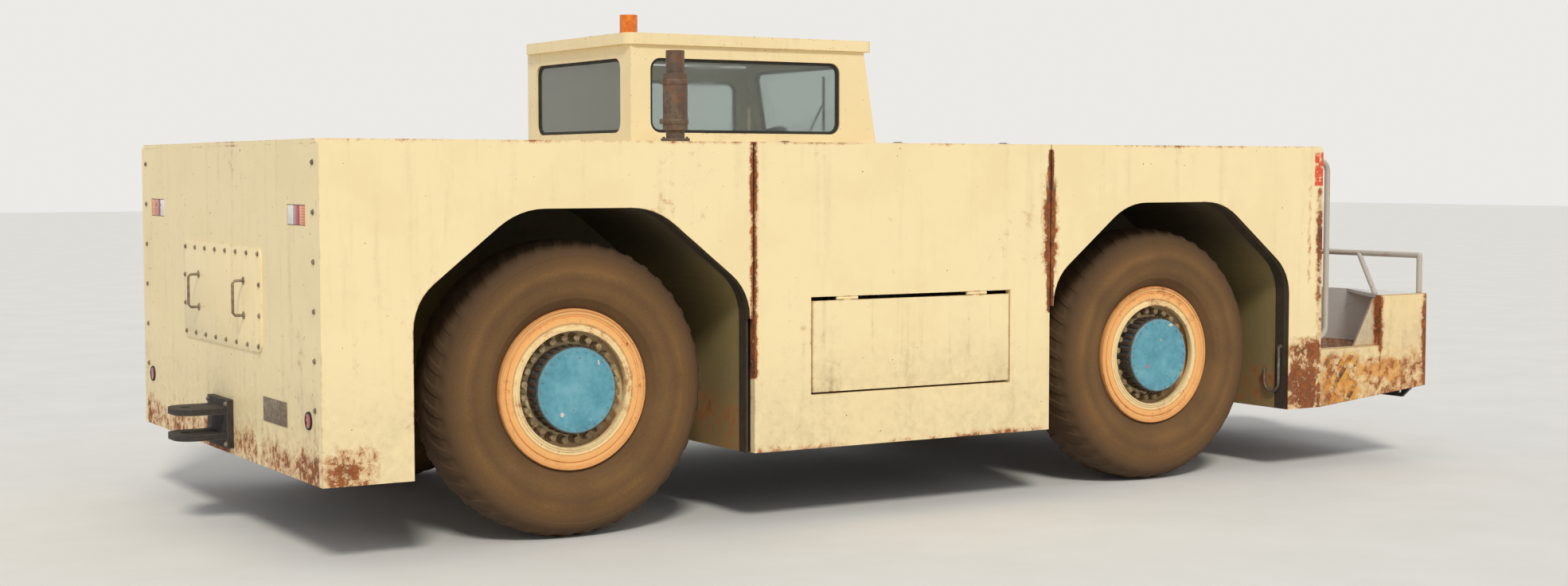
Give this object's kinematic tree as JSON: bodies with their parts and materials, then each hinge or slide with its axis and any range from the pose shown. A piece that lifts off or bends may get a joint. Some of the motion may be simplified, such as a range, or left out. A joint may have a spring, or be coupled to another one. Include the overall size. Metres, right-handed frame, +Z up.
{
  "type": "aircraft pushback tractor",
  "caption": "Low four-wheel tractor that pushes aircraft by a towbar, with a front standing platform, stacked towbar coupler, side cab and steered front wheels.",
  "frame": {"origin": "on the ground, at the middle of the whole length and width", "axes": "+X forward, +Y to its left, +Z up"},
  "size_m": [7.28, 2.8, 2.56],
  "materials": {
    "cream_paint": "faded cream paint with rust at edges and seams",
    "white_paint": "white-grey paint, dented and scratched",
    "grey_steel": "dark grey chassis paint with dust",
    "olive_paint": "dull olive paint in the wheel wells",
    "rusty_steel": "worn yellow-orange paint over brown rust",
    "galvanised": "dull galvanised tube and grating",
    "tyre_rubber": "dark rubber with brown dust",
    "rim_paint": "cream rim paint with orange rust rings",
    "hub_paint": "faded blue paint, chipped",
    "glass": "slightly tinted window glass",
    "vinyl": "black vinyl seat cover",
    "black_plastic": "black moulded plastic",
    "lamp_lens": "amber and red lamp lenses"
  },
  "bodies": {
    "root": {"frame": "grey_steel", "wheel_wells": "olive_paint", "engine": "grey_steel", "axle_front": "grey_steel", "axle_rear": "grey_steel", "side_front": "cream_paint", "side_mid": "cream_paint", "side_rear": "cream_paint", "deck_front": "cream_paint", "deck_mid": "cream_paint", "deck_rear": "cream_paint", "front_face": "cream_paint", "front_grille": "grey_steel", "tail_plate": "cream_paint", "platform_floor": "rusty_steel", "platform_sides": "cream_paint", "bumper_plate": "white_paint", "lower_band": "galvanised", "handrails": "galvanised", "hitch_front": "rusty_steel", "hitch_rear": "grey_steel", "cab_shell": "cream_paint", "cab_roof": "cream_paint", "cab_glass": "glass", "cab_seat": "grey_steel", "seat_cushions": "vinyl", "cab_console": "black_plastic", "lamps": "lamp_lens", "exhaust": "grey_steel"},
    "knuckle_left": {"knuckle_left": "grey_steel"},
    "knuckle_right": {"knuckle_right": "grey_steel"},
    "tie_rod": {"tie_rod": "grey_steel"},
    "wheel_front_left": {"tyre_front_left": "tyre_rubber", "rim_front_left": "rim_paint", "hub_front_left": "hub_paint"},
    "wheel_front_right": {"tyre_front_right": "tyre_rubber", "rim_front_right": "rim_paint", "hub_front_right": "hub_paint"},
    "wheel_rear_left": {"tyre_rear_left": "tyre_rubber", "rim_rear_left": "rim_paint", "hub_rear_left": "hub_paint"},
    "wheel_rear_right": {"tyre_rear_right": "tyre_rubber", "rim_rear_right": "rim_paint", "hub_rear_right": "hub_paint"},
    "cab_door": {"cab_door": "cream_paint", "door_glass": "glass"},
    "engine_hood": {"engine_hood": "cream_paint"},
    "side_hatch": {"side_hatch": "cream_paint"}
  },
  "joints": [
    {"name": "steer_left", "type": "hinge", "parent": "root", "child": "knuckle_left", "pos_m": [1.36, 0.835, 0.685], "axis": [0, 0, 1], "range_deg": [-25, 25]},
    {"name": "steer_right", "type": "hinge", "parent": "root", "child": "knuckle_right", "pos_m": [1.36, -0.835, 0.685], "axis": [0, 0, 1], "range_deg": [-25, 25]},
    {"name": "tie_rod_pivot", "type": "hinge", "parent": "knuckle_left", "child": "tie_rod", "pos_m": [1.11, 0.835, 0.575], "axis": [0, 0, 1], "range_deg": [-25, 25]},
    {"name": "wheel_front_left_spin", "type": "hinge", "parent": "knuckle_left", "child": "wheel_front_left", "pos_m": [1.36, 1.085, 0.685], "axis": [0, 1, 0], "continuous": true},
    {"name": "wheel_front_right_spin", "type": "hinge", "parent": "knuckle_right", "child": "wheel_front_right", "pos_m": [1.36, -1.085, 0.685], "axis": [0, 1, 0], "continuous": true},
    {"name": "wheel_rear_left_spin", "type": "hinge", "parent": "root", "child": "wheel_rear_left", "pos_m": [-2.14, 1.085, 0.685], "axis": [0, 1, 0], "continuous": true},
    {"name": "wheel_rear_right_spin", "type": "hinge", "parent": "root", "child": "wheel_rear_right", "pos_m": [-2.14, -1.085, 0.685], "axis": [0, 1, 0], "continuous": true},
    {"name": "cab_door_hinge", "type": "hinge", "parent": "root", "child": "cab_door", "pos_m": [0.33, 1.392, 1.5], "axis": [0, 0, -1], "range_deg": [0, 80]},
    {"name": "engine_hood_hinge", "type": "hinge", "parent": "root", "child": "engine_hood", "pos_m": [-0.4, 0.04, 1.828], "axis": [-1, 0, 0], "range_deg": [0, 60]},
    {"name": "side_hatch_hinge", "type": "hinge", "parent": "root", "child": "side_hatch", "pos_m": [-0.36, -1.392, 1.07], "axis": [-1, 0, 0], "range_deg": [0, 80]}
  ],
  "couplings": [
    {"joint": "steer_right", "follows": "steer_left", "ratio": 1},
    {"joint": "tie_rod_pivot", "follows": "steer_left", "ratio": -1}
  ]
}
